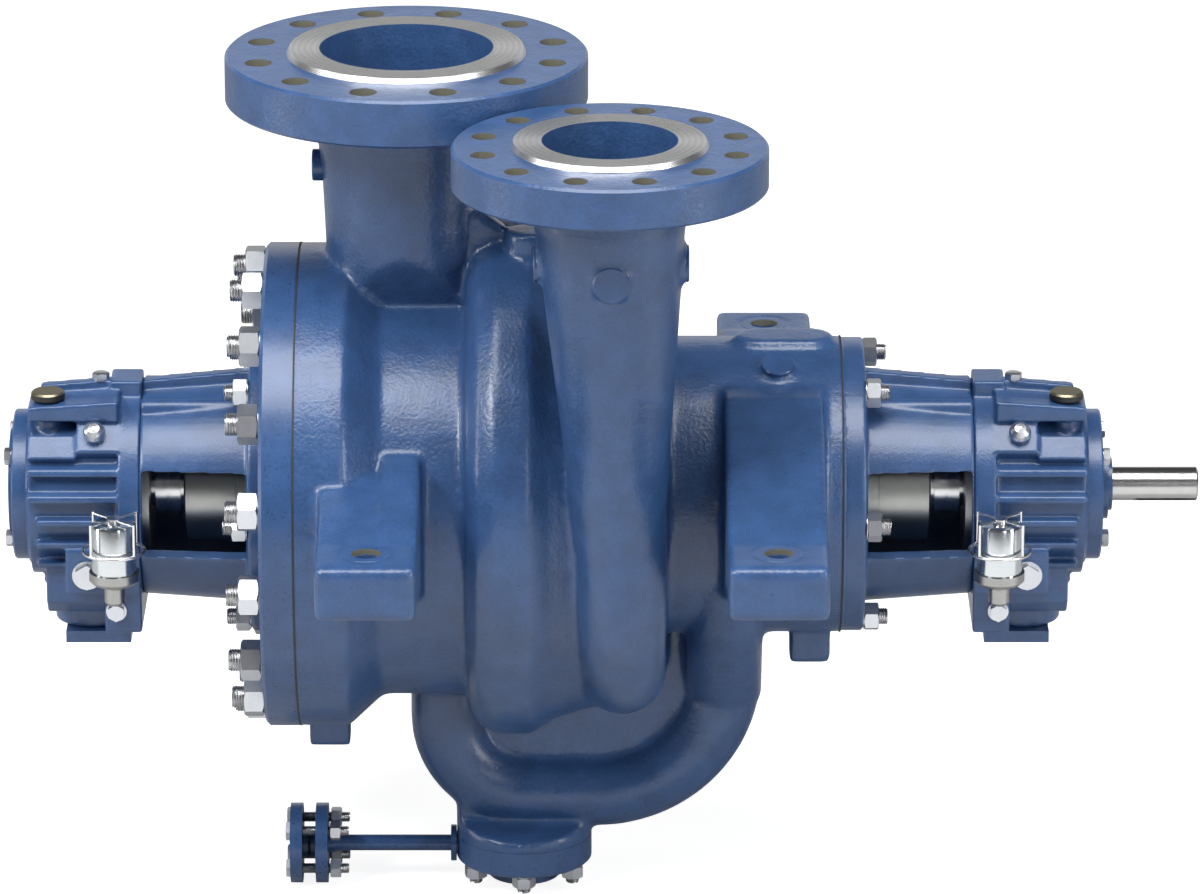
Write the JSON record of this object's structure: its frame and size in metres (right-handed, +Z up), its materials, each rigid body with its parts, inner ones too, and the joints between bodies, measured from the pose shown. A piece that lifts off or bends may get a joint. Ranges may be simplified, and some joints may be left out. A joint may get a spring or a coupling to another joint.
{
  "type": "two-stage between-bearings process pump",
  "caption": "Horizontal two-stage process pump with a cast casing, two top flanges, an external crossover, four centreline feet and a bearing housing at each end.",
  "frame": {"origin": "centre of the four foot bolt holes, in the plane of the foot undersides, which is also the height of the shaft", "axes": "+X along the shaft to the drive end, +Y to the rear, away from the discharge nozzle, +Z up through the nozzles"},
  "size_m": [1.389, 0.9768, 1.028],
  "materials": {
    "blue_paint": "semi-gloss blue paint over castings",
    "steel": "machined stainless steel",
    "dark_ring": "blue paint",
    "gasket": "matt graphite gasket",
    "oiler_metal": "bright plated steel",
    "oiler_glass": "clear glass",
    "breather": "dark cap with a dull brass top"
  },
  "bodies": {
    "pump": {"pump_casing": "blue_paint", "suction_flange": "blue_paint", "discharge_flange": "blue_paint", "casing_cover": "blue_paint", "bearing_bracket_nondrive": "blue_paint", "bearing_bracket_drive": "blue_paint", "bearing_housing_nondrive": "blue_paint", "bearing_housing_drive": "blue_paint", "end_cover_nondrive": "blue_paint", "end_cover_drive": "blue_paint", "inner_bearing_cover_nondrive": "blue_paint", "inner_bearing_cover_drive": "blue_paint", "sump_cover_nondrive": "blue_paint", "sump_cover_drive": "blue_paint", "drain_cover": "blue_paint", "drain_pipe": "blue_paint", "drain_pipe_flange": "blue_paint", "drain_blind_flange": "blue_paint", "seal_gland_nondrive": "steel", "seal_gland_drive": "steel", "oil_plugs_nondrive": "steel", "oil_plugs_drive": "steel", "shaft_seal_ring_drive": "dark_ring", "cover_gasket": "gasket", "bracket_gasket": "gasket", "drain_gasket": "gasket", "oiler_base_nondrive": "oiler_metal", "oiler_base_drive": "oiler_metal", "oiler_cage_nondrive": "oiler_metal", "oiler_cage_drive": "oiler_metal", "oiler_bottle_nondrive": "oiler_glass", "oiler_bottle_drive": "oiler_glass", "breather_cap_nondrive": "breather", "breather_cap_drive": "breather"},
    "rotor": {"shaft": "steel", "seal_sleeve_nondrive": "steel", "shaft_collar_nondrive": "steel", "seal_sleeve_drive": "steel", "shaft_collar_drive": "steel"}
  },
  "joints": [
    {"name": "rotor_spin", "type": "hinge", "parent": "pump", "child": "rotor", "pos_m": [0, 0, 0], "axis": [1, 0, 0], "continuous": true}
  ]
}
